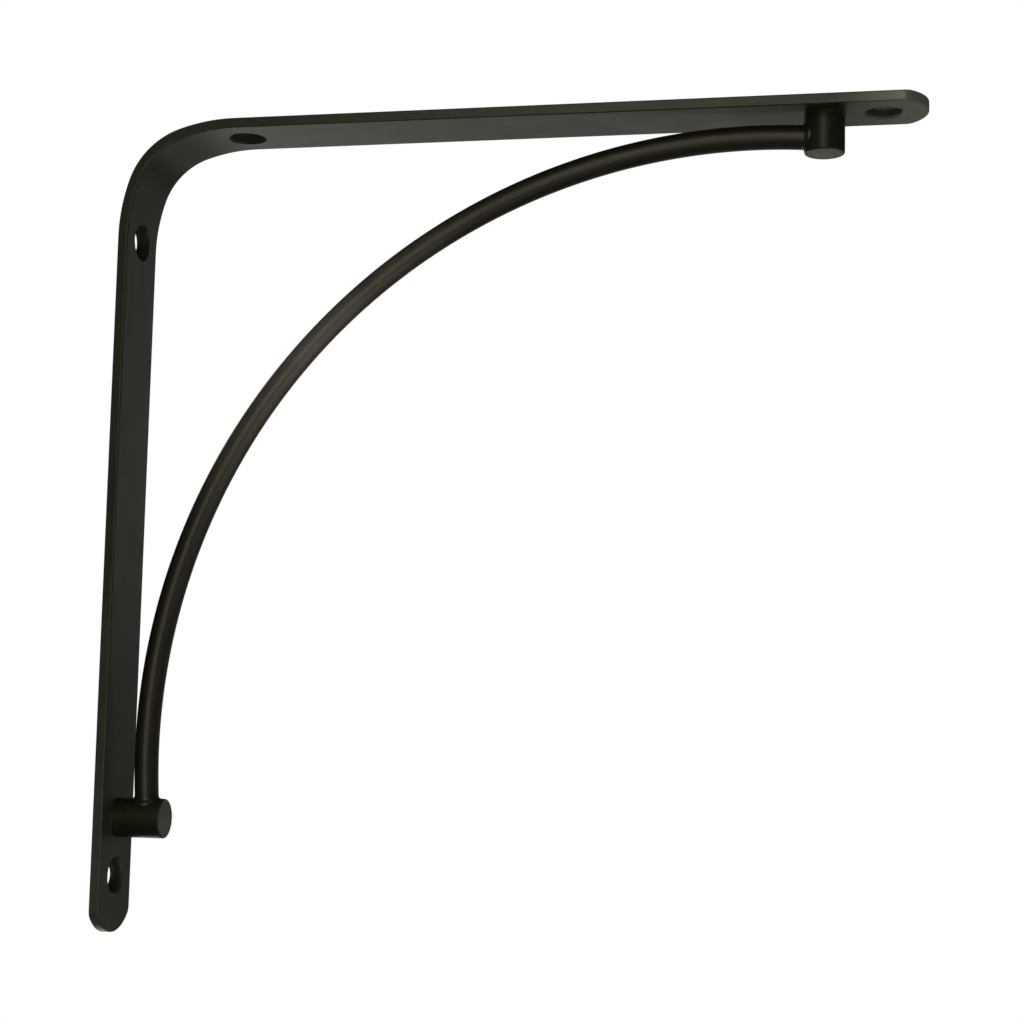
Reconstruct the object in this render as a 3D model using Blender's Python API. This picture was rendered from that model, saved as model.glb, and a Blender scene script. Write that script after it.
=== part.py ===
"""Steel shelf bracket: a flat bar bent to an L, two round posts and a curved round brace.

Metres, +Z up. +X points away from the wall and Y runs across the bar. The origin is on the face
that lies against the wall, midway between the wall leg's two screw holes.
"""

from math import acos, asin, atan2, cos, pi, radians, sin, sqrt, tan

import bmesh
import bpy
from mathutils import Vector

# Flat bar.
BAR_WIDTH = 0.0240
BAR_THICKNESS = 0.0032
BAR_EDGE_ROUND = 0.0004
BAR_EDGE_STEPS = 2
WALL_LEG = 0.250
SHELF_LEG = 0.247

# Bend of the bar, measured on its middle line: a tight middle between two gentler shoulders.
BEND_RADIUS = 0.023
SHOULDER_RADIUS = 0.056
SHOULDER_ANGLE = radians(18)
BEND_STEP = radians(3)

# Rounded ends of the bar, seen face on: a broad crown with a small corner at each side.
CROWN_RADIUS = 0.0155
CORNER_RADIUS = 0.004
CROWN_STEPS = 8
CORNER_STEPS = 5

# Countersunk screw holes, placed from the outer corner of the L along each leg.
WALL_HOLES = (0.0355, 0.2330)
SHELF_HOLES = (0.0370, 0.2340)
BORE_RADIUS = 0.0032
SINK_RADIUS = 0.0060
SINK_ANGLE = radians(45)
HOLE_SIDES = 40

# Posts, placed from the outer corner of the L. A reach runs from the bar to the post's end.
POST_RADIUS = 0.0060
SHELF_POST_OUT = 0.2166
SHELF_POST_REACH = 0.0118
WALL_POST_DOWN = 0.2154
WALL_POST_REACH = 0.0155
POST_EDGE_ROUND = 0.0006
POST_EDGE_STEPS = 3
POST_SIDES = 48

# Brace: a round bar on one arc. Its centre lies out from the wall and down from the shelf.
BRACE_RADIUS = 0.00365
BRACE_ARC = 0.1855
BRACE_CENTRE_OUT = 0.1973
BRACE_CENTRE_DOWN = 0.1947
BRACE_SIDES = 24
BRACE_STEPS = 72

# Space left where one piece meets the next.
JOINT_GAP = 0.0003

# Paint of each piece: colour, then roughness. All of it has the same slight metallic share.
PAINTS = {
    "bar_frame": ((0.030, 0.028, 0.024), 0.42),
    "shelf_post": ((0.028, 0.027, 0.020), 0.45),
    "wall_post": ((0.028, 0.027, 0.020), 0.45),
    "curved_brace": ((0.034, 0.028, 0.020), 0.36),
}
PAINT_METALLIC = 0.35

# Faces that meet at less than this angle are shaded as one surface.
SMOOTH_ANGLE = radians(35)

# Height of the shelf leg's top face above the origin.
TOP = sum(WALL_HOLES) / 2


def clear_scene():
    for obj in list(bpy.context.scene.objects):
        bpy.data.objects.remove(obj, do_unlink=True)


def arc_angles(start, end, steps):
    return [start + (end - start) * i / steps for i in range(steps + 1)]


def paint(piece_name):
    colour, roughness = PAINTS[piece_name]
    material = bpy.data.materials.new(piece_name + "_paint")
    material.use_nodes = True
    shader = material.node_tree.nodes["Principled BSDF"]
    shader.inputs["Base Color"].default_value = (*colour, 1.0)
    shader.inputs["Roughness"].default_value = roughness
    shader.inputs["Metallic"].default_value = PAINT_METALLIC
    return material


def add_object(name, bm):
    """Turns a bmesh into a named object, shaded smooth across shallow edges."""
    bmesh.ops.recalc_face_normals(bm, faces=bm.faces)
    mesh = bpy.data.meshes.new(name)
    bm.to_mesh(mesh)
    bm.free()
    mesh.shade_smooth()
    mesh.set_sharp_from_angle(angle=SMOOTH_ANGLE)
    obj = bpy.data.objects.new(name, mesh)
    bpy.context.scene.collection.objects.link(obj)
    return obj


def add_piece(name, bm):
    piece = add_object(name, bm)
    piece.data.materials.append(paint(name))
    return piece


def add_cutter(name, bm, place, turn):
    cutter = add_object(name, bm)
    cutter.hide_render = True
    cutter.display_type = "WIRE"
    cutter.location = place
    cutter.rotation_euler = turn
    return cutter


def cut(target, cutter):
    boolean = target.modifiers.new(cutter.name, "BOOLEAN")
    boolean.operation = "DIFFERENCE"
    boolean.solver = "EXACT"
    boolean.object = cutter


def tube_of_rings(rings):
    """A closed body from rings of points, each with the same count, capped at both ends."""
    bm = bmesh.new()
    loops = [[bm.verts.new(point) for point in ring] for ring in rings]
    sides = len(loops[0])
    for lower, upper in zip(loops, loops[1:]):
        for i in range(sides):
            j = (i + 1) % sides
            bm.faces.new((lower[i], lower[j], upper[j], upper[i]))
    bm.faces.new(reversed(loops[0]))
    bm.faces.new(loops[-1])
    return bm


def turned(profile, sides):
    """A solid turned about Z from (radius, height) pairs, listed from the bottom up."""
    return tube_of_rings(
        [
            [Vector((r * cos(a), r * sin(a), h)) for a in arc_angles(0, 2 * pi, sides)[:-1]]
            for r, h in profile
        ]
    )


def bend_reach():
    """How far the bend's middle line runs along each leg before the leg is straight."""
    shoulder = SHOULDER_RADIUS * (1 + sin(SHOULDER_ANGLE) - cos(SHOULDER_ANGLE))
    return shoulder + BEND_RADIUS * (cos(SHOULDER_ANGLE) - sin(SHOULDER_ANGLE))


def bar_runs():
    """The bar's middle line from the wall leg's tip on, as (length, radius) runs; None is straight."""
    to_bend = BAR_THICKNESS / 2 + bend_reach()
    shoulder = (SHOULDER_RADIUS * SHOULDER_ANGLE, SHOULDER_RADIUS)
    middle = (BEND_RADIUS * (pi / 2 - 2 * SHOULDER_ANGLE), BEND_RADIUS)
    return [(WALL_LEG - to_bend, None), shoulder, middle, shoulder, (SHELF_LEG - to_bend, None)]


def bend_point(along, across, out):
    """Carries a point of the straight bar to its place on the bent one.

    along is measured from the wall leg's tip, and out from the middle line to the outer face.
    """
    x = BAR_THICKNESS / 2
    z = TOP - WALL_LEG
    heading = 0.0
    left = along
    for length, radius in bar_runs():
        step = min(left, length)
        if radius is None:
            x += step * sin(heading)
            z += step * cos(heading)
        else:
            turned_to = heading + step / radius
            x += radius * (cos(heading) - cos(turned_to))
            z += radius * (sin(turned_to) - sin(heading))
            heading = turned_to
        left -= step
        if left <= 0:
            break
    return Vector((x - out * cos(heading), across, z + out * sin(heading)))


def tip_outline():
    """Half of a rounded end, as (back from the tip, sideways) points from its middle to its side."""
    side = BAR_WIDTH / 2 - CORNER_RADIUS
    forward = sqrt((CROWN_RADIUS - CORNER_RADIUS) ** 2 - side**2)
    meet = atan2(side, forward)
    crown = [
        (CROWN_RADIUS * (1 - cos(a)), CROWN_RADIUS * sin(a))
        for a in arc_angles(0, meet, CROWN_STEPS)
    ]
    corner = [
        (CROWN_RADIUS - forward - CORNER_RADIUS * cos(a), side + CORNER_RADIUS * sin(a))
        for a in arc_angles(meet, pi / 2, CORNER_STEPS)
    ]
    return crown + corner[1:]


def bend_stations():
    """Places along the bar where its faces are divided so that they can follow the bend."""
    stations = []
    start = 0.0
    for length, radius in bar_runs():
        if radius is not None:
            steps = max(1, round(length / radius / BEND_STEP))
            stations += [start + length * i / steps for i in range(steps)]
        start += length
    bend_end = start - bar_runs()[-1][0]
    return stations + [bend_end]


def straight_bar():
    """The bar before it is bent: X along it, Y across, Z through its thickness."""
    total = sum(length for length, radius in bar_runs())
    half = tip_outline()
    left_tip = [(back, y) for back, y in reversed(half)] + [(back, -y) for back, y in half[1:]]
    right_tip = [(total - back, -y) for back, y in left_tip]
    bm = bmesh.new()
    outline = [bm.verts.new((x, y, -BAR_THICKNESS / 2)) for x, y in left_tip + right_tip]
    bottom = bm.faces.new(outline)
    grown = bmesh.ops.extrude_face_region(bm, geom=[bottom])["geom"]
    top_verts = [v for v in grown if isinstance(v, bmesh.types.BMVert)]
    bmesh.ops.translate(bm, verts=top_verts, vec=(0, 0, BAR_THICKNESS))
    rims = [e for e in bm.edges if abs(e.verts[0].co.z - e.verts[1].co.z) < BAR_THICKNESS / 2]
    bmesh.ops.bevel(
        bm,
        geom=rims,
        offset=BAR_EDGE_ROUND,
        segments=BAR_EDGE_STEPS,
        profile=0.5,
        affect="EDGES",
    )
    return bm


def screw_cutter(name, place, turn):
    """The shape of a countersunk hole. Its +Z points out of the bar's inner face."""
    depth = (SINK_RADIUS - BORE_RADIUS) / tan(SINK_ANGLE)
    clear = BAR_THICKNESS
    profile = [
        (BORE_RADIUS, -2 * clear),
        (BORE_RADIUS, -depth),
        (SINK_RADIUS, 0.0),
        (SINK_RADIUS, clear),
    ]
    return add_cutter(name, turned(profile, HOLE_SIDES), place, turn)


def make_bar():
    bm = straight_bar()
    for station in bend_stations():
        everything = bm.verts[:] + bm.edges[:] + bm.faces[:]
        bmesh.ops.bisect_plane(bm, geom=everything, plane_co=(station, 0, 0), plane_no=(1, 0, 0))
    for vert in bm.verts:
        vert.co = bend_point(vert.co.x, vert.co.y, vert.co.z)
    bar = add_piece("bar_frame", bm)
    for down in WALL_HOLES:
        cut(bar, screw_cutter("wall_leg_screw", (BAR_THICKNESS, 0, TOP - down), (0, pi / 2, 0)))
    for out in SHELF_HOLES:
        cut(bar, screw_cutter("shelf_leg_screw", (out, 0, TOP - BAR_THICKNESS), (pi, 0, 0)))
    return bar


def make_post(name, reach, place, turn):
    """A round post whose +Z points away from the bar, with its end's edge rounded."""
    length = reach - JOINT_GAP
    edge = [
        (
            POST_RADIUS - POST_EDGE_ROUND * (1 - cos(a)),
            length - POST_EDGE_ROUND * (1 - sin(a)),
        )
        for a in arc_angles(0, pi / 2, POST_EDGE_STEPS)
    ]
    post = add_piece(name, turned([(POST_RADIUS, 0.0)] + edge, POST_SIDES))
    post.location = place
    post.rotation_euler = turn
    return post


def post_cutter(name, place, turn):
    """A cylinder a little wider than a post, which hollows the brace's end to fit round it."""
    radius = POST_RADIUS + JOINT_GAP
    reach = 2 * WALL_POST_REACH
    return add_cutter(name, turned([(radius, 0.0), (radius, reach)], POST_SIDES), place, turn)


def brace_point(angle, round_angle):
    """A point on the brace's surface: angle runs along its arc, round_angle goes round the bar."""
    radius = BRACE_ARC + BRACE_RADIUS * cos(round_angle)
    return Vector(
        (
            BRACE_CENTRE_OUT + radius * cos(angle),
            BRACE_RADIUS * sin(round_angle),
            TOP - BRACE_CENTRE_DOWN + radius * sin(angle),
        )
    )


def make_brace():
    """A round bar along one arc, running into both posts before its ends are hollowed."""
    shelf_end = acos((SHELF_POST_OUT - BRACE_CENTRE_OUT) / BRACE_ARC)
    wall_end = pi + asin((WALL_POST_DOWN - BRACE_CENTRE_DOWN) / BRACE_ARC)
    rings = [
        [brace_point(angle, a) for a in arc_angles(0, 2 * pi, BRACE_SIDES)[:-1]]
        for angle in arc_angles(shelf_end, wall_end, BRACE_STEPS)
    ]
    brace = add_piece("curved_brace", tube_of_rings(rings))
    cut(brace, post_cutter("shelf_end_cutter", (SHELF_POST_OUT, 0, TOP), (pi, 0, 0)))
    cut(brace, post_cutter("wall_end_cutter", (0, 0, TOP - WALL_POST_DOWN), (0, pi / 2, 0)))
    return brace


def main():
    clear_scene()
    base = BAR_THICKNESS + JOINT_GAP
    pieces = [
        make_bar(),
        make_post("shelf_post", SHELF_POST_REACH, (SHELF_POST_OUT, 0, TOP - base), (pi, 0, 0)),
        make_post("wall_post", WALL_POST_REACH, (base, 0, TOP - WALL_POST_DOWN), (0, pi / 2, 0)),
        make_brace(),
    ]
    bracket = bpy.data.objects.new("shelf_bracket", None)
    bpy.context.scene.collection.objects.link(bracket)
    for piece in pieces:
        piece.parent = bracket


main()
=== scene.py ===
from math import asin, acos, atan2, ceil, cos, hypot, pi, radians, sin, sqrt, tan

import bmesh
import bpy
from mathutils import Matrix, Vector
from mathutils.geometry import delaunay_2d_cdt


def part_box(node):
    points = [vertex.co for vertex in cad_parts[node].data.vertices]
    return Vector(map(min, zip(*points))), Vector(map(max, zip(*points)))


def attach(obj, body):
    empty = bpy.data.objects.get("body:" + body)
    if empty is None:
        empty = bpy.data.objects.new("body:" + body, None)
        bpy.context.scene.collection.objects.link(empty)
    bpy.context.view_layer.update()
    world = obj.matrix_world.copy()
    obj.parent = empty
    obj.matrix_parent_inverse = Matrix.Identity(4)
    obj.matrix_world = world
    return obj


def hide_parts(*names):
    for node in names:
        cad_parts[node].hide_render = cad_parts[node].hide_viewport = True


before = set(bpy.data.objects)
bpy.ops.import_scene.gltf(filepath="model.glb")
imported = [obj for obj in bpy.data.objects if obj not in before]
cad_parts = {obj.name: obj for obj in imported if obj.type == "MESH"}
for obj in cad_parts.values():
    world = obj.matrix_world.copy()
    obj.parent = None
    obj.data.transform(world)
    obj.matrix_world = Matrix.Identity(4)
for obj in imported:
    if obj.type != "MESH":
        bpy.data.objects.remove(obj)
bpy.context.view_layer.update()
print("frame loaded:", sorted(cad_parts))

mm = 0.001


# Nodes and expressions

class Wire:  # an output socket that can stand in a plain sum
    def __init__(self, board, socket):
        self.board = board
        self.socket = socket

    def maths(self, operation, *values):
        return self.board.add("ShaderNodeMath", {"operation": operation}, dict(enumerate(values)))

    def __add__(self, other):
        return self.maths("ADD", self, other)

    def __radd__(self, other):
        return self.maths("ADD", other, self)

    def __sub__(self, other):
        return self.maths("SUBTRACT", self, other)

    def __rsub__(self, other):
        return self.maths("SUBTRACT", other, self)

    def __mul__(self, other):
        return self.maths("MULTIPLY", self, other)

    def __rmul__(self, other):
        return self.maths("MULTIPLY", other, self)

    def __truediv__(self, other):
        return self.maths("DIVIDE", self, other)

    def __rtruediv__(self, other):
        return self.maths("DIVIDE", other, self)

    def __pow__(self, other):
        return self.maths("POWER", self, other)


class Board:  # a node tree, and the one way in which nodes are added to it
    def __init__(self, tree):
        self.tree = tree

    def add(self, kind, settings=None, sockets=None, output=0):
        node = self.tree.nodes.new(kind)
        for name, value in (settings or {}).items():
            setattr(node, name, value)
        for key, value in (sockets or {}).items():
            self.feed(findSocket(node.inputs, key), value)
        return Wire(self, findSocket(node.outputs, output))

    def feed(self, socket, value):
        if isinstance(value, Wire):
            self.tree.links.new(value.socket, socket)
        else:
            socket.default_value = value


def findSocket(sockets, key):
    if isinstance(key, int):
        return sockets[key]
    return next(s for s in sockets if s.identifier == key)


def sine(value):
    return value.maths("SINE", value) if isinstance(value, Wire) else sin(value)


def cosine(value):
    return value.maths("COSINE", value) if isinstance(value, Wire) else cos(value)


def held(value, low, high):  # keeps a wire between two limits
    return value.maths("MINIMUM", value.maths("MAXIMUM", value, low), high)


def newTree(name, sizes, takesGeometry):
    tree = bpy.data.node_groups.new(name, "GeometryNodeTree")
    if takesGeometry:
        tree.interface.new_socket("Blank", in_out="INPUT", socket_type="NodeSocketGeometry")
    for label in sizes:
        tree.interface.new_socket(label, in_out="INPUT", socket_type="NodeSocketFloat")
    tree.interface.new_socket("Paint", in_out="INPUT", socket_type="NodeSocketMaterial")
    tree.interface.new_socket("Result", in_out="OUTPUT", socket_type="NodeSocketGeometry")
    board = Board(tree)
    start = tree.nodes.new("NodeGroupInput")
    return board, {s.name: Wire(board, s) for s in start.outputs if s.name}


def endTree(board, mesh, paint):
    whole = board.add("GeometryNodeRealizeInstances", None, {"Geometry": mesh})
    painted = board.add("GeometryNodeSetMaterial", None, {"Geometry": whole, "Material": paint})
    finish = board.tree.nodes.new("NodeGroupOutput")
    board.feed(finish.inputs[0], painted)
    return board.tree


def runTree(name, data, tree, values):  # leaves a plain mesh with no modifier on it
    piece = bpy.data.objects.new(name, data)
    bpy.context.scene.collection.objects.link(piece)
    modifier = piece.modifiers.new("shape", "NODES")
    modifier.node_group = tree
    for item in tree.interface.items_tree:
        if item.name in values:
            modifier[item.identifier] = values[item.name]
    depsgraph = bpy.context.evaluated_depsgraph_get()
    made = bpy.data.meshes.new_from_object(
        piece.evaluated_get(depsgraph), preserve_all_data_layers=True, depsgraph=depsgraph
    )
    bpy.data.objects.remove(piece)
    made.name = name
    result = bpy.data.objects.new(name, made)
    bpy.context.scene.collection.objects.link(result)
    return result


# Lines and rings

def spread(start, end, steps):
    return [start + (end - start) * i / steps for i in range(steps + 1)]


def softLine(corners, steps, holds):
    # Rounds each (a, b, radius) corner of a line, and adds points at the hold distances beside
    # each rounding, so that the flats next to it stay flat. Gives (a, b, wear) points, where
    # wear is 1 at a corner and falls to 0 at the furthest hold.
    spots = [Vector((a, b)) for a, b, radius in corners]
    points = [spots[0]]
    for i in range(1, len(corners) - 1):
        radius = corners[i][2]
        back = spots[i - 1] - spots[i]
        on = spots[i + 1] - spots[i]
        backWay = back.normalized()
        onWay = on.normalized()
        half = back.angle(on) / 2
        reach = radius / tan(half)
        centre = spots[i] + (backWay + onWay).normalized() * radius / sin(half)
        first = (spots[i] + backWay * reach - centre).normalized()
        last = (spots[i] + onWay * reach - centre).normalized()
        for hold in reversed(holds):
            if reach + hold < back.length / 2:
                points.append(spots[i] + backWay * (reach + hold))
        points += [centre + first.slerp(last, t) * radius for t in spread(0, 1, steps)]
        for hold in holds:
            if reach + hold < on.length / 2:
                points.append(spots[i] + onWay * (reach + hold))
    points.append(spots[-1])
    inner = spots[1:-1]
    worn = [max(0, 1 - min((p - s).length for s in inner) / max(holds)) for p in points]
    return [(p.x, p.y, w) for p, w in zip(points, worn)]


class Shell:  # rings of points joined into one closed skin
    def __init__(self):
        self.spots = []
        self.wear = []
        self.faces = []

    def ring(self, points, wear=0.0):
        start = len(self.spots)
        self.spots += points
        self.wear += [wear] * len(points)
        return list(range(start, len(self.spots)))

    def join(self, lower, upper):
        for i in range(len(lower)):
            j = (i + 1) % len(lower)
            self.faces.append((lower[i], lower[j], upper[j], upper[i]))

    def joinAll(self, rings):
        for lower, upper in zip(rings, rings[1:]):
            self.join(lower, upper)

    def mesh(self, name):
        mesh = bpy.data.meshes.new(name)
        mesh.from_pydata(self.spots, [], self.faces)
        mesh.shade_smooth()
        mesh.attributes.new("wear", "FLOAT", "POINT").data.foreach_set("value", self.wear)
        bm = bmesh.new()
        bm.from_mesh(mesh)
        bmesh.ops.recalc_face_normals(bm, faces=bm.faces)
        bm.to_mesh(mesh)
        bm.free()
        return mesh


def keepGrain(mesh, place):  # stores where each point lies along, across and through its piece
    grain = mesh.attributes.new("grain", "FLOAT_VECTOR", "POINT")
    for vertex, entry in zip(mesh.vertices, grain.data):
        entry.vector = place(vertex.co)


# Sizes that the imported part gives

barLow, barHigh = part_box("bar_frame")
shelfPostLow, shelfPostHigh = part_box("shelf_post")
wallPostLow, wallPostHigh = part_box("wall_post")
topHeight = barHigh.z
jointGap = 0.3 * mm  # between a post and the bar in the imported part, and closed here
barThickness = topHeight - shelfPostHigh.z - jointGap
postRadius = (shelfPostHigh.x - shelfPostLow.x) / 2
shelfPostOut = (shelfPostHigh.x + shelfPostLow.x) / 2
wallPostHeight = (wallPostHigh.z + wallPostLow.z) / 2


# Paint: dark bronze over steel, near black, rubbed by use along the edges. Scales are per
# metre, and heights, middles and reaches are in metres.

def paintNoise(board, place, scale, detail):
    sockets = {"Vector": place, "Scale": scale, "Detail": detail}
    return board.add("ShaderNodeTexNoise", None, sockets, "Fac")


def blendColours(board, share, first, second):
    sockets = {"Factor_Float": share, "A_Color": first, "B_Color": second}
    return board.add("ShaderNodeMix", {"data_type": "RGBA"}, sockets, "Result_Color")


def makePaint(name, look):
    material = bpy.data.materials.new(name)
    material.use_nodes = True
    shader = material.node_tree.nodes["Principled BSDF"]
    board = Board(material.node_tree)
    place = board.add("ShaderNodeAttribute", {"attribute_name": "grain"}, None, "Vector")
    edges = board.add("ShaderNodeAttribute", {"attribute_name": "wear"}, None, "Fac")
    sheltered = held(-1 * edges, 0.0, 1.0)  # wear is below 0 inside the holes
    drawn = board.add("ShaderNodeVectorMath", {"operation": "MULTIPLY"}, {0: place, 1: look["drawnOut"]})

    cloud = paintNoise(board, place, look["cloudScale"], detail=3.0)
    streak = paintNoise(board, drawn, look["streakScale"], detail=2.0)
    peel = paintNoise(board, place, look["peelScale"], detail=1.0)
    dust = paintNoise(board, place, look["dustScale"], detail=0.0)
    shade = held(0.5 + (cloud - 0.5) * look["clouds"] + (streak - 0.5) * look["streaks"], 0.0, 1.0)
    rubbed = held(edges * (look["rubbedLeast"] + cloud) - look["rubbedFrom"], 0.0, 1.0) * look["rubbed"]
    specks = held((dust - look["dustFrom"]) * look["dustCrispness"], 0.0, 1.0) * look["dust"]

    colour = blendColours(board, shade, look["dark"], look["light"])
    along = board.add("ShaderNodeSeparateXYZ", None, {0: place}, "X")
    steel = look["metallic"]
    # Painted highlights: each (middle, reach, share) patch makes the colour paler and the paint more
    # metallic where light falls brightly.
    for middle, reach, share in look["paintedHighlight"]:
        away = board.add("ShaderNodeMath", {"operation": "ABSOLUTE"}, {0: along - middle})
        patches = 1 + (cloud - 0.5) * look["highlightPatches"]
        paintedHighlight = held(1 - away / reach, 0.0, 1.0) * patches * (1 - sheltered) * share
        colour = blendColours(board, paintedHighlight, colour, look["highlightColour"])
        steel = steel + paintedHighlight * look["highlightSteel"]
    colour = blendColours(board, rubbed, colour, look["rubbedColour"])
    colour = blendColours(board, specks, colour, look["dustColour"])

    rough = look["roughness"] + (cloud - 0.5) * look["cloudsDull"] + (streak - 0.5) * look["streaksDull"]
    rough = rough + specks * look["dustDulls"] + sheltered * look["shelteredDulls"]
    rough = rough - rubbed * look["rubbingShines"]

    board.feed(shader.inputs["Base Color"], colour)
    board.feed(shader.inputs["Roughness"], held(rough, look["smoothest"], 1.0))
    board.feed(shader.inputs["Metallic"], steel)
    board.feed(shader.inputs["Specular Tint"], look["glossTint"])
    board.feed(shader.inputs["Specular IOR Level"], look["gloss"])
    height = peel * look["peelHeight"] + streak * look["streakHeight"] + specks * look["dustHeight"]
    bump = board.add("ShaderNodeBump", None, {"Strength": 1.0, "Distance": 1.0, "Height": height})
    board.feed(shader.inputs["Normal"], bump)
    return material


paint = {
    "dark": (0.0095, 0.0088, 0.0050, 1),
    "light": (0.0160, 0.0148, 0.0085, 1),
    "roughness": 0.40,
    "smoothest": 0.1,
    "metallic": 0.0,
    "gloss": 0.5,
    "glossTint": (0.98, 1.0, 0.78, 1),
    "cloudScale": 70,
    "clouds": 1.6,
    "cloudsDull": 0.14,
    "drawnOut": (0.06, 1, 1),  # draws the streaks out along the piece
    "streakScale": 900,
    "streaks": 0.5,
    "streaksDull": 0.1,
    "streakHeight": 0.004 * mm,
    "peelScale": 650,
    "peelHeight": 0.016 * mm,
    "rubbed": 0.5,
    "rubbedLeast": 0.35,
    "rubbedFrom": 0.35,
    "rubbingShines": 0.06,
    "rubbedColour": (0.060, 0.045, 0.032, 1),
    "dustScale": 2400,
    "dustFrom": 0.72,
    "dustCrispness": 12,
    "dust": 0.25,
    "dustDulls": 0.2,
    "dustHeight": 0.01 * mm,
    "dustColour": (0.09, 0.085, 0.075, 1),
    "shelteredDulls": 0.4,
    "paintedHighlight": [],  # (middle, reach, share) for each place along the piece where a painted highlight makes the paint paler
    "highlightPatches": 1.2,
    "highlightColour": (0.330, 0.325, 0.290, 1),
    "highlightSteel": 0.35,
}

# Painted highlights, which make the paint paler: at both tips of the bar, on the posts' ends and midway
# along the brace.
barPaint = makePaint("barPaint", {**paint, "paintedHighlight": [(0.490, 0.035, 1.0), (0.0, 0.12, 0.12)]})
postPaint = makePaint(
    "postPaint",
    {
        **paint,
        "glossTint": (0.95, 1.0, 0.66, 1),
        "gloss": 0.33,
        "roughness": 0.40,
        "drawnOut": (1, 1, 1),
        # painted highlight on the post's end
        "paintedHighlight": [(0.0, 0.3 * mm, 0.5)],
    },
)
rodPaint = makePaint(
    "rodPaint",
    {
        **paint,
        "light": (0.0200, 0.0155, 0.0085, 1),
        "glossTint": (1.0, 0.94, 0.76, 1),
        "gloss": 0.54,
        "roughness": 0.42,
        "streaks": 0.15,
        "streaksDull": 0.03,
        "streakHeight": 0.0,
        "peelHeight": 0.004 * mm,
        # painted highlight midway along the brace, where the lamps' reflection is broad
        "paintedHighlight": [(0.445, 0.065, 0.35)],
        "highlightColour": (0.310, 0.275, 0.240, 1),
        "highlightSteel": 0.6,
        "dust": 0.12,
        "dustHeight": 0.0,
    },
)
print("paints made")


# The bar, cut and drilled flat, then folded

bar = {
    "bendRadius": 23 * mm,
    "shoulderRadius": 56 * mm,
    "shoulderAngle": radians(18),
    "crownRadius": 15.5 * mm,
    "cornerRadius": 4 * mm,
    "wallHoles": (35.5 * mm, 233 * mm),  # from the outer corner down the wall leg
    "shelfHoles": (37 * mm, 234 * mm),  # and out along the shelf leg
    "boreRadius": 3.2 * mm,
    "sinkRadius": 6 * mm,
    "edgeRadius": 0.4 * mm,
    "rimRadius": 0.2 * mm,
    "shelter": 0.5 * mm,  # how far into a hole the paint is still rubbed
    "sides": 72,
    "crownSteps": 16,
    "cornerSteps": 10,
    "roundSteps": 5,
    "holds": (0.1 * mm, 0.45 * mm, 1.2 * mm),
    "bendStep": radians(1.5),
    "straightStep": 5 * mm,
    "tipClear": 1 * mm,  # between a rounded end and the first stop on a side
    "gridShares": (-0.7, -0.35, 0, 0.35, 0.7),  # where points lie across a flat face
    "sameSpot": 1e-7,  # points nearer than this count as one
}
barWidth = barHigh.y - barLow.y
wallLeg = barHigh.z - barLow.z
shelfLeg = barHigh.x - barLow.x


def barRuns(wall, shelf, thick, bend, shoulder, angle):
    # The middle line from the wall leg's tip on, as (length, radius), with None for straight.
    # It takes numbers, and wires too.
    reach = shoulder * (1 + sine(angle) - cosine(angle)) + bend * (cosine(angle) - sine(angle))
    toBend = thick / 2 + reach
    side = (shoulder * angle, shoulder)
    middle = (bend * (pi / 2 - 2 * angle), bend)
    return [(wall - toBend, None), side, middle, side, (shelf - toBend, None)]


def foldTree():
    sizes = ["Wall Leg", "Shelf Leg", "Thickness"]
    sizes += ["Bend Radius", "Shoulder Radius", "Shoulder Angle", "Top"]
    board, given = newTree("foldBar", sizes, True)
    wall, shelf, thick, bend, shoulder, angle, top = (given[label] for label in sizes)
    spot = board.add("GeometryNodeInputPosition")
    along = board.add("ShaderNodeSeparateXYZ", None, {0: spot}, "X")
    across = board.add("ShaderNodeSeparateXYZ", None, {0: spot}, "Y")
    out = board.add("ShaderNodeSeparateXYZ", None, {0: spot}, "Z")
    x = thick / 2
    z = top - wall
    start = 0.0
    heading = 0.0
    turned = 0.0
    for length, radius in barRuns(wall, shelf, thick, bend, shoulder, angle):
        step = held(along - start, 0.0, length)
        if radius is None:
            x = x + step * sine(heading)
            z = z + step * cosine(heading)
        else:
            after = heading + step / radius
            x = x + radius * (cosine(heading) - cosine(after))
            z = z + radius * (sine(after) - sine(heading))
            turned = turned + step / radius
            heading = heading + length / radius
        start = start + length
    x = x - out * cosine(turned)
    z = z + out * sine(turned)
    moved = board.add("ShaderNodeCombineXYZ", None, {"X": x, "Y": across, "Z": z})
    folded = board.add("GeometryNodeSetPosition", None, {"Geometry": given["Blank"], "Position": moved})
    return endTree(board, folded, given["Paint"])


def barStops(runs):  # places along the bar where its faces and sides are divided
    stops = []
    start = 0.0
    for length, radius in runs:
        step = bar["straightStep"] if radius is None else radius * bar["bendStep"]
        steps = ceil(length / step)
        stops += [start + length * i / steps for i in range(steps)]
        start += length
    return stops[1:]


def tipPoints():  # half of a rounded end, as (back, across, normal back, normal across)
    side = barWidth / 2 - bar["cornerRadius"]
    forward = sqrt((bar["crownRadius"] - bar["cornerRadius"]) ** 2 - side**2)
    meet = atan2(side, forward)
    crown = bar["crownRadius"]
    corner = bar["cornerRadius"]
    turns = spread(0, meet, bar["crownSteps"])
    points = [(crown - crown * cos(a), crown * sin(a), -cos(a), sin(a)) for a in turns]
    for a in spread(meet, pi / 2, bar["cornerSteps"])[1:]:
        points.append((crown - forward - corner * cos(a), side + corner * sin(a), -cos(a), sin(a)))
    return points


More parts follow.
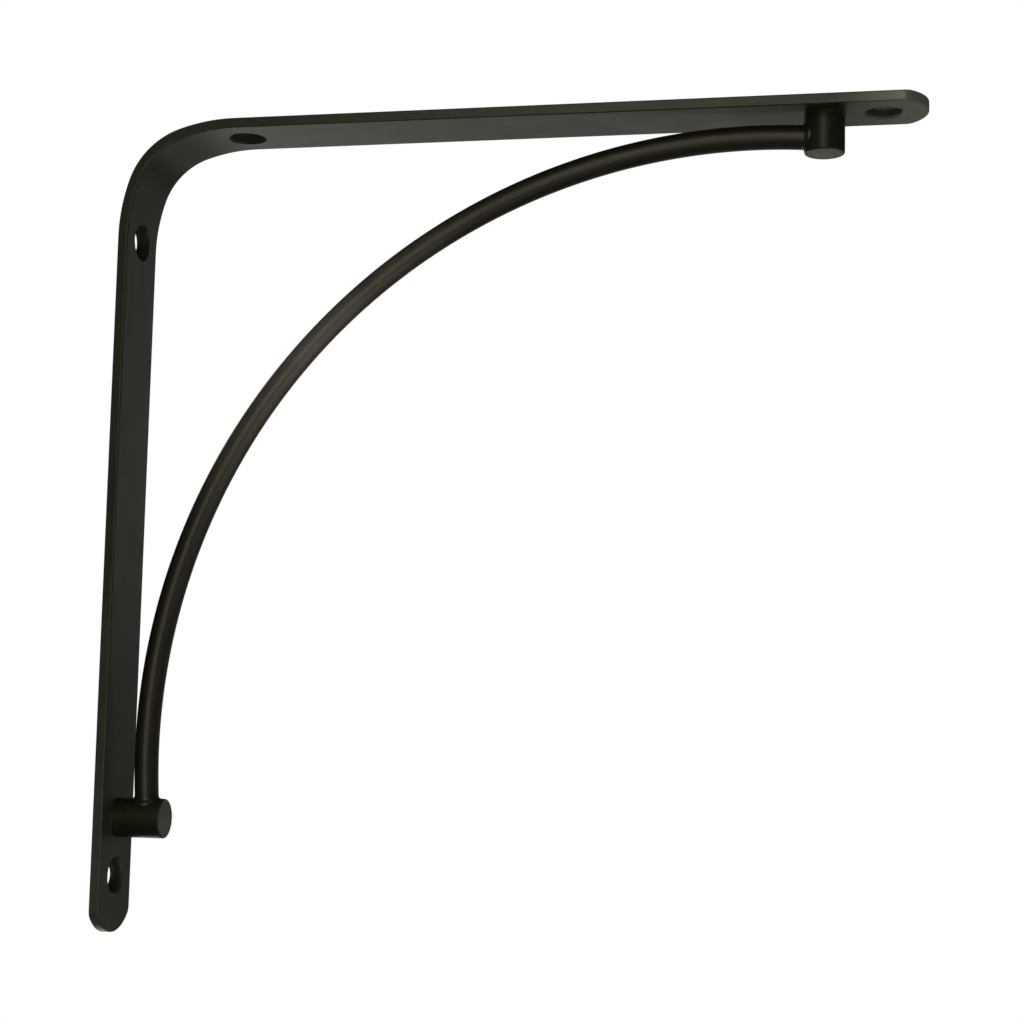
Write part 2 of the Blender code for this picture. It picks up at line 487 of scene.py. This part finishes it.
def barOutline(total, stops):
    # Once round the flat bar, as (along, across, normal along, normal across).
    half = tipPoints()
    tipEnd = half[-1][0] + bar["tipClear"]
    sideStops = [s for s in stops if tipEnd < s < total - tipEnd]
    side = barWidth / 2
    outline = [(b, y, nb, ny) for b, y, nb, ny in reversed(half)]
    outline += [(b, -y, nb, -ny) for b, y, nb, ny in half[1:]]
    outline += [(s, -side, 0, -1) for s in sideStops]
    outline += [(total - b, -y, -nb, -ny) for b, y, nb, ny in reversed(half)]
    outline += [(total - b, y, -nb, ny) for b, y, nb, ny in half[1:]]
    outline += [(s, side, 0, 1) for s in reversed(sideStops)]
    return outline


def fillFace(shell, border, holes, centres, stops, height):
    # Fills a flat face between its border and its holes, divided at the stops so that it can fold.
    inner = barWidth / 2 - bar["edgeRadius"] - max(bar["holds"])
    clear = bar["sinkRadius"] + 2 * max(bar["holds"])
    grid = []
    for stop in stops[1:-1]:
        for share in bar["gridShares"]:
            spot = Vector((stop, share * inner))
            if min((spot - c).length for c in centres) > clear:
                grid.append(shell.ring([(spot.x, spot.y, height)])[0])
    holeRadius = (Vector(shell.spots[holes[0][0]][:2]) - centres[0]).length
    loops = [border] + holes
    known = [index for loop in loops for index in loop] + grid
    flat = [Vector(shell.spots[index][:2]) for index in known]
    edges = []
    start = 0
    for loop in loops:
        edges += [(start + i, start + (i + 1) % len(loop)) for i in range(len(loop))]
        start += len(loop)
    spots, _, faces, source, _, _ = delaunay_2d_cdt(flat, edges, [], 1, bar["sameSpot"])
    for face in faces:
        middle = sum((spots[i] for i in face), Vector((0, 0))) / len(face)
        if min((middle - c).length for c in centres) > holeRadius:
            shell.faces.append([known[source[i][0]] for i in face])


def flatBar():
    bend = bar["bendRadius"]
    shoulder = bar["shoulderRadius"]
    runs = barRuns(wallLeg, shelfLeg, barThickness, bend, shoulder, bar["shoulderAngle"])
    total = sum(length for length, radius in runs)
    stops = barStops(runs)
    outline = barOutline(total, stops)
    half = barThickness / 2
    shell = Shell()

    edge = bar["edgeRadius"]
    inset = edge + max(bar["holds"])
    corners = [(inset, -half, 0), (0, -half, edge), (0, half, edge), (inset, half, 0)]
    rings = [
        shell.ring([(s - ns * back, y - ny * back, height) for s, y, ns, ny in outline], worn)
        for back, height, worn in softLine(corners, bar["roundSteps"], bar["holds"])
    ]
    shell.joinAll(rings)

    centres = [Vector((wallLeg - down, 0)) for down in bar["wallHoles"]]
    centres += [Vector((total - shelfLeg + out, 0)) for out in bar["shelfHoles"]]
    sink = bar["sinkRadius"]
    bore = bar["boreRadius"]
    rim = bar["rimRadius"]
    flare = max(bar["holds"]) + rim
    drill = [(sink + flare, -half, 0), (sink, -half, rim), (bore, sink - bore - half, rim)]
    drill += [(bore, half, rim), (bore + flare, half, 0)]
    profile = softLine(drill, bar["roundSteps"], bar["holds"])
    turns = spread(0, 2 * pi, bar["sides"])[:-1]
    innerLoops = []
    outerLoops = []
    for centre in centres:
        drilled = []
        for r, h, worn in profile:
            if h < half:
                worn -= min(1, max(0, (sink - r) / bar["shelter"]))
            drilled.append(shell.ring([(centre.x + r * cos(a), r * sin(a), h) for a in turns], worn))
        shell.joinAll(drilled)
        innerLoops.append(drilled[0])
        outerLoops.append(drilled[-1])
    fillFace(shell, rings[0], innerLoops, centres, stops, -half)
    fillFace(shell, rings[-1], outerLoops, centres, stops, half)
    mesh = shell.mesh("flatBar")
    keepGrain(mesh, lambda spot: spot)
    return mesh


foldSizes = {
    "Wall Leg": wallLeg,
    "Shelf Leg": shelfLeg,
    "Thickness": barThickness,
    "Bend Radius": bar["bendRadius"],
    "Shoulder Radius": bar["shoulderRadius"],
    "Shoulder Angle": bar["shoulderAngle"],
    "Top": topHeight,
    "Paint": barPaint,
}
bentBar = runTree("bentBar", flatBar(), foldTree(), foldSizes)
print("bar folded:", len(bentBar.data.polygons), "faces")


# The posts, turned from round stock, with a soft weld at the root

post = {
    "edgeRadius": 0.6 * mm,
    "rootRadius": 0.4 * mm,
    "buried": 0.25 * mm,
    "crown": 0.06 * mm,
    "crownSteps": 8,
    "crownReach": 0.96,  # how near its last ring comes to the middle
    "leastRise": 0.0005 * mm,  # from one ring to the next
    "sides": 96,
    "roundSteps": 6,
    "holds": (0.1 * mm, 0.4 * mm, 1.0 * mm),
}


def postTree():
    board, given = newTree("turnPost", ["Sides"], True)
    sockets = {"Resolution": given["Sides"], "Radius": 1.0}
    ring = board.add("GeometryNodeCurvePrimitiveCircle", {"mode": "RADIUS"}, sockets)
    radius = board.add("GeometryNodeInputRadius")
    sockets = {"Curve": given["Blank"], "Profile Curve": ring, "Scale": radius, "Fill Caps": True}
    turned = board.add("GeometryNodeCurveToMesh", None, sockets)
    smooth = board.add("GeometryNodeSetShadeSmooth", None, {"Geometry": turned, "Shade Smooth": True})
    return endTree(board, smooth, given["Paint"])


def postProfile(reach):
    # (radius, height) up a post, from just inside the bar to the middle of its end.
    edge = post["edgeRadius"]
    root = post["rootRadius"]
    flat = reach - post["crown"]
    corners = [
        (postRadius + root + 2 * max(post["holds"]), -post["buried"], 0),
        (postRadius, 0, root),
        (postRadius, flat, edge),
        (postRadius - edge - 2 * max(post["holds"]), flat, 0),
    ]
    line = softLine(corners, post["roundSteps"], post["holds"])
    line = [(r, h) for r, h, worn in line if r < postRadius + root]
    rim = line[-1][0]
    shares = spread(0, post["crownReach"], post["crownSteps"])
    crown = [(rim * (1 - t), flat + post["crown"] * sin(t * pi / 2)) for t in shares]
    return line[:-1] + crown


def makePost(name, base, direction, reach):
    curve = bpy.data.curves.new(name, "CURVE")
    curve.dimensions = "3D"
    line = postProfile(reach)
    rising = [line[0]]
    for radius, height in line[1:]:
        rising.append((radius, max(height, rising[-1][1] + post["leastRise"])))
    spline = curve.splines.new("POLY")
    spline.points.add(len(rising) - 1)
    for point, (radius, height) in zip(spline.points, rising):
        point.co = (*(base + direction * height), 1)
        point.radius = radius
    piece = runTree(name, curve, turnTree, {"Sides": post["sides"], "Paint": postPaint})
    side = direction.orthogonal().normalized()
    other = direction.cross(side)

    def postGrain(spot):  # up the post, as 0 at its end, and across it both ways
        away = spot - base
        return away.dot(direction) - reach, away.dot(side), away.dot(other)

    keepGrain(piece.data, postGrain)
    return piece


turnTree = postTree()
innerTop = topHeight - barThickness
shelfRoot = Vector((shelfPostOut, 0, innerTop))
wallRoot = Vector((barThickness, 0, wallPostHeight))
shelfPost = makePost("shelfPost", shelfRoot, Vector((0, 0, -1)), innerTop - shelfPostLow.z)
wallPost = makePost("wallPost", wallRoot, Vector((1, 0, 0)), wallPostHigh.x - barThickness)
print("posts turned")


# The brace, a round rod on one arc, with its ends welded to the posts' sides

rod = {
    "radius": 3.65 * mm,
    "slimmer": 0.04,  # how much thinner the rod is midway, where it was bent most
    "arcRadius": 185.5 * mm,
    "centreOut": 197.3 * mm,
    "centreDown": 194.7 * mm,
    "weld": 1.0 * mm,
    "weldUnder": 0.5,  # how much of the weld is missing below the rod, where the post ends
    "buried": 2.6 * mm,  # how near the rod's end comes to the post's middle
    "steps": 420,
    "gathered": 0.92,  # how much closer together the steps are towards the ends
    "sides": 64,
}


def rodTree():
    sizes = ["Rod Radius", "Arc Radius", "Centre Out", "Centre Height", "First Angle", "Last Angle"]
    sizes += ["Post Radius", "Shelf Post Out", "Wall Post Height", "Weld", "Weld Under"]
    sizes += ["Slimmer", "Gathered", "Steps", "Sides"]
    board, given = newTree("bendRod", sizes, False)
    thick, arc, centreX, centreZ, first, last = (given[label] for label in sizes[:6])
    postSize, shelfX, wallZ, weld, under = (given[label] for label in sizes[6:11])
    slimmer, gathered, steps, sides = (given[label] for label in sizes[11:])

    line = board.add("GeometryNodeCurvePrimitiveLine", None, {"End": (0, 0, 1)})
    line = board.add("GeometryNodeResampleCurve", None, {"Curve": line, "Count": steps})
    share = board.add("GeometryNodeSplineParameter", None, None, "Factor")
    share = share - gathered * sine(share * 2 * pi) / (2 * pi)
    angle = first + (last - first) * share
    sockets = {"X": centreX + arc * cosine(angle), "Z": centreZ + arc * sine(angle)}
    place = board.add("ShaderNodeCombineXYZ", None, sockets)
    line = board.add("GeometryNodeSetPosition", None, {"Geometry": line, "Position": place})
    sockets = {"Resolution": sides, "Radius": thick}
    ring = board.add("GeometryNodeCurvePrimitiveCircle", {"mode": "RADIUS"}, sockets)
    slim = 1 - slimmer * sine(share * pi) ** 2
    sockets = {"Curve": line, "Profile Curve": ring, "Scale": slim, "Fill Caps": True}
    tube = board.add("GeometryNodeCurveToMesh", None, sockets)

    spot = board.add("GeometryNodeInputPosition")
    x = board.add("ShaderNodeSeparateXYZ", None, {0: spot}, "X")
    y = board.add("ShaderNodeSeparateXYZ", None, {0: spot}, "Y")
    z = board.add("ShaderNodeSeparateXYZ", None, {0: spot}, "Z")
    turn = x.maths("ARCTAN2", z - centreZ, x - centreX)
    awayX = (x - centreX - arc * cosine(turn)) / thick
    awayY = y / thick
    awayZ = (z - centreZ - arc * sine(turn)) / thick
    swell = 0.0
    for reach in (x - shelfX, z - wallZ):
        gap = (reach**2 + y**2) ** 0.5 - postSize
        into = weld - held(gap, 0.0, weld)
        swell = swell + weld - held(weld**2 - into**2, 0.0, 1.0) ** 0.5
    swell = swell * (1 - under * held(-1 * awayZ, 0.0, 1.0))
    sockets = {"X": awayX * swell, "Y": awayY * swell, "Z": awayZ * swell}
    offset = board.add("ShaderNodeCombineXYZ", None, sockets)
    welded = board.add("GeometryNodeSetPosition", None, {"Geometry": tube, "Offset": offset})
    smooth = board.add("GeometryNodeSetShadeSmooth", None, {"Geometry": welded, "Shade Smooth": True})
    return endTree(board, smooth, given["Paint"])


rodCentre = Vector((rod["centreOut"], 0, topHeight - rod["centreDown"]))
shelfPostFrom = shelfPostOut - rodCentre.x - rod["buried"]
wallPostFrom = rodCentre.z - wallPostHeight - rod["buried"]
rodSizes = {
    "Rod Radius": rod["radius"],
    "Arc Radius": rod["arcRadius"],
    "Centre Out": rodCentre.x,
    "Centre Height": rodCentre.z,
    "First Angle": acos(shelfPostFrom / rod["arcRadius"]),
    "Last Angle": pi + asin(wallPostFrom / rod["arcRadius"]),
    "Post Radius": postRadius,
    "Shelf Post Out": shelfPostOut,
    "Wall Post Height": wallPostHeight,
    "Weld": rod["weld"],
    "Weld Under": rod["weldUnder"],
    "Slimmer": rod["slimmer"],
    "Gathered": rod["gathered"],
    "Steps": rod["steps"],
    "Sides": rod["sides"],
    "Paint": rodPaint,
}
emptyMesh = bpy.data.meshes.new("rodStart")
curvedRod = runTree("curvedRod", emptyMesh, rodTree(), rodSizes)


def rodGrain(spot):  # along the arc, across it and out from its middle line
    away = spot - rodCentre
    turn = atan2(away.z, away.x) % (2 * pi)
    return rod["arcRadius"] * turn, away.y, hypot(away.x, away.z) - rod["arcRadius"]


keepGrain(curvedRod.data, rodGrain)
print("rod bent:", len(curvedRod.data.polygons), "faces")


# What each piece stands for

stands = [
    (bentBar, "bar_frame", "bar_paint"),
    (shelfPost, "shelf_post", "post_paint"),
    (wallPost, "wall_post", "post_paint"),
    (curvedRod, "curved_brace", "brace_paint"),
]
for piece, node, slot in stands:
    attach(piece, "root")
    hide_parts(node)


# Floor, light and camera

studio = {
    "floorHeight": -1.3,
    "floorRadius": 9,
    "floorSides": 96,
    "floorColour": (0.86, 0.86, 0.85, 1),
    "fadeFrom": 1.0,  # how far from its middle the floor starts to fade into the white
    "fadeTo": 3.0,
    "paleness": 0.8,  # how far it is faded already at its middle
    "white": (1, 1, 1, 1),
    "background": 1.0,
    "room": 0.02,
}


def makeFloor():
    bpy.ops.mesh.primitive_circle_add(
        vertices=studio["floorSides"],
        radius=studio["floorRadius"],
        fill_type="NGON",
        location=(0, 0, studio["floorHeight"]),
    )
    floor = bpy.context.object
    floor.name = "floor"
    material = bpy.data.materials.new("paleFloor")
    material.use_nodes = True
    board = Board(material.node_tree)
    spot = board.add("ShaderNodeTexCoord", None, None, "Object")
    away = board.add("ShaderNodeVectorMath", {"operation": "LENGTH"}, {0: spot}, "Value")
    span = studio["fadeTo"] - studio["fadeFrom"]
    fade = held((away - studio["fadeFrom"]) / span, studio["paleness"], 1.0)
    matt = board.add("ShaderNodeBsdfDiffuse", None, {"Color": studio["floorColour"]})
    glow = {"Color": studio["white"], "Strength": studio["background"]}
    white = board.add("ShaderNodeEmission", None, glow)
    mixed = board.add("ShaderNodeMixShader", None, {0: fade, 1: matt, 2: white})
    board.feed(material.node_tree.nodes["Material Output"].inputs["Surface"], mixed)
    floor.data.materials.append(material)
    floor.visible_glossy = False
    floor.visible_diffuse = False


def makeRoom():  # the camera sees plain white, and the paint reflects a softer room
    world = bpy.data.worlds.new("studioRoom")
    bpy.context.scene.world = world
    world.use_nodes = True
    board = Board(world.node_tree)
    world.node_tree.nodes.remove(world.node_tree.nodes["Background"])
    faint = {"Color": studio["white"], "Strength": studio["room"]}
    bright = {"Color": studio["white"], "Strength": studio["background"]}
    room = board.add("ShaderNodeBackground", None, faint)
    white = board.add("ShaderNodeBackground", None, bright)
    seen = board.add("ShaderNodeLightPath", None, None, "Is Camera Ray")
    mixed = board.add("ShaderNodeMixShader", None, {0: seen, 1: room, 2: white})
    board.feed(world.node_tree.nodes["World Output"].inputs["Surface"], mixed)


lights = {
    # name: (turn round the bracket, height above it, both in degrees, distance, size, power)
    "frontSoftbox": (-1, -13, 1.3, 0.5, 1.6),
    "frontTop": (0, 17, 1.3, 0.6, 2.8),
    "keySoftbox": (45, -36, 1.3, 0.55, 2.0),
    "sidePanel": (92, -39, 1.3, 0.6, 1.4),
    "topPanel": (20, 68, 1.3, 0.9, 1.2),
    "leftPanel": (-78, 5, 1.3, 0.8, 0.7),
    "leftBelow": (-84, -56, 1.3, 0.5, 0.25),
    "leftHigh": (-55, 38, 1.3, 0.6, 0.4),
    "backPanel": (-168, 4, 1.3, 0.6, 1.05),
    "backFar": (170, 14, 1.3, 0.6, 0.3),
    "backLow": (-146, -33, 1.3, 0.6, 1.9),
    "backUnder": (176, -25, 1.3, 0.5, 0.25),
    "backRight": (140, -10, 1.3, 0.7, 0.4),
    "backLeft": (-125, 15, 1.3, 0.8, 1.0),
}
lampColour = (1.0, 0.985, 0.90)


def makeLights(middle):
    for name, (turn, height, distance, size, power) in lights.items():
        data = bpy.data.lights.new(name, "AREA")
        data.shape = "SQUARE"
        data.size = size
        data.energy = power
        data.color = lampColour
        lamp = bpy.data.objects.new(name, data)
        flat = cos(radians(height))
        away = Vector((sin(radians(turn)) * flat, -cos(radians(turn)) * flat, sin(radians(height))))
        lamp.location = middle + away * distance
        lamp.rotation_euler = away.to_track_quat("Z", "Y").to_euler()
        lamp.visible_camera = False
        bpy.context.scene.collection.objects.link(lamp)


camera = {
    "place": (0.2486, -0.5925, -0.05375),
    "turn": (96.281, -1.251, 11.691),  # degrees
    "lens": 71.51,
    "sensor": 36,
}


def makeCamera():
    data = bpy.data.cameras.new("camera")
    data.lens = camera["lens"]
    data.sensor_width = camera["sensor"]
    seat = bpy.data.objects.new("camera", data)
    seat.location = camera["place"]
    seat.rotation_euler = [radians(angle) for angle in camera["turn"]]
    bpy.context.scene.collection.objects.link(seat)
    bpy.context.scene.camera = seat


makeFloor()
makeRoom()
makeLights((barLow + barHigh) / 2)
makeCamera()
bpy.context.scene.view_settings.view_transform = "Standard"
print("studio set")
